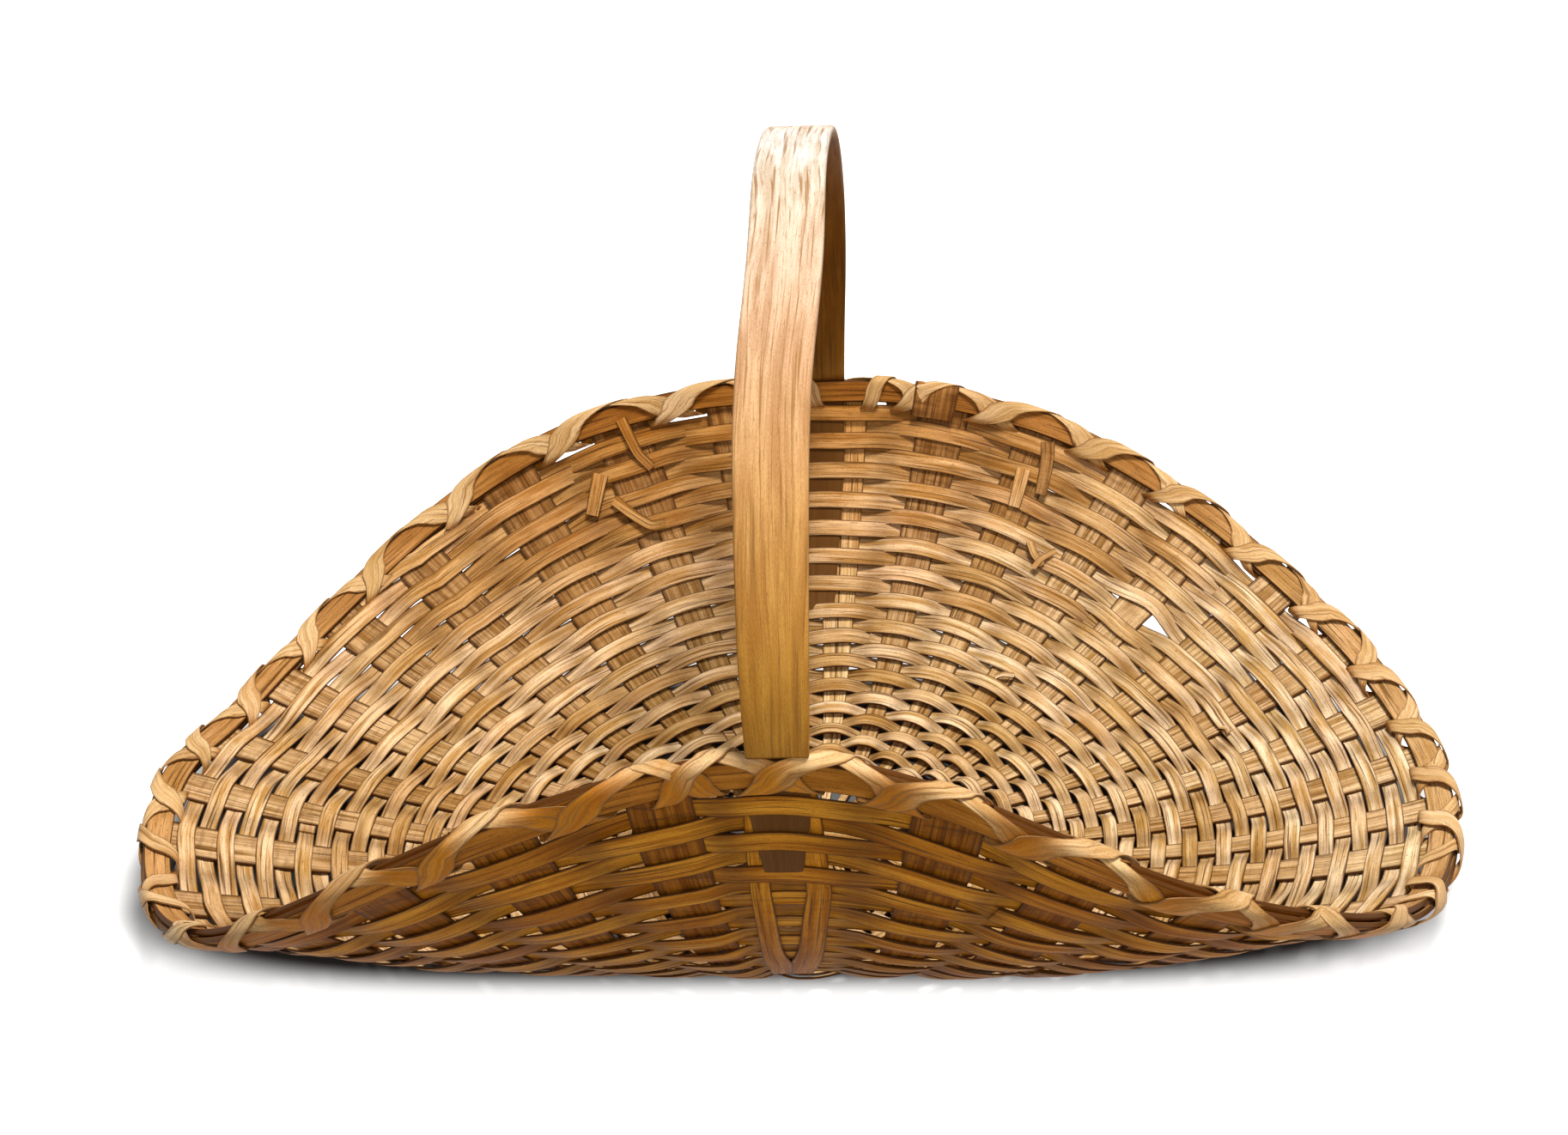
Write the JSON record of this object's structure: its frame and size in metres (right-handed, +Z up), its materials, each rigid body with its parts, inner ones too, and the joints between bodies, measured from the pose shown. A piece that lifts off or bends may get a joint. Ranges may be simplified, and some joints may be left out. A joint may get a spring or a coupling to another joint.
{
  "type": "flower gathering basket",
  "caption": "Shallow woven splint basket for cut flowers, raised at front and back, low and open at the ends, with lashed rim hoops and a fixed hoop handle.",
  "frame": {"origin": "middle of the basket's bounding box, on the surface that it stands on", "axes": "+X along the length, towards the right end as pictured; +Y towards the far wall; +Z up"},
  "size_m": [0.6304, 0.511, 0.3553],
  "materials": {
    "spoke_oak": "aged, dry, satin",
    "weaver_oak": "aged, dry, satin",
    "rim_oak": "aged, dry, satin",
    "lashing_oak": "aged, dry, satin",
    "handle_oak": "worn smooth, satin"
  },
  "bodies": {
    "root": {"splint_01": "spoke_oak", "splint_02": "spoke_oak", "splint_03": "spoke_oak", "splint_04": "spoke_oak", "splint_05": "spoke_oak", "splint_06": "spoke_oak", "splint_07": "spoke_oak", "splint_08": "spoke_oak", "splint_09": "spoke_oak", "splint_10": "spoke_oak", "splint_11": "spoke_oak", "splint_12": "spoke_oak", "splint_13": "spoke_oak", "splint_14": "spoke_oak", "splint_15": "spoke_oak", "forked_splint": "spoke_oak", "odd_splint": "spoke_oak", "weaver_01": "weaver_oak", "weaver_02": "weaver_oak", "weaver_03": "weaver_oak", "weaver_04": "weaver_oak", "weaver_05": "weaver_oak", "weaver_06": "weaver_oak", "weaver_07": "weaver_oak", "weaver_08": "weaver_oak", "weaver_09": "weaver_oak", "weaver_10": "weaver_oak", "weaver_11": "weaver_oak", "weaver_12": "weaver_oak", "weaver_13": "weaver_oak", "rim_hoop_inner": "rim_oak", "rim_hoop_outer": "rim_oak", "lashing_first": "lashing_oak", "lashing_second": "lashing_oak", "handle_hoop": "handle_oak"}
  },
  "joints": []
}
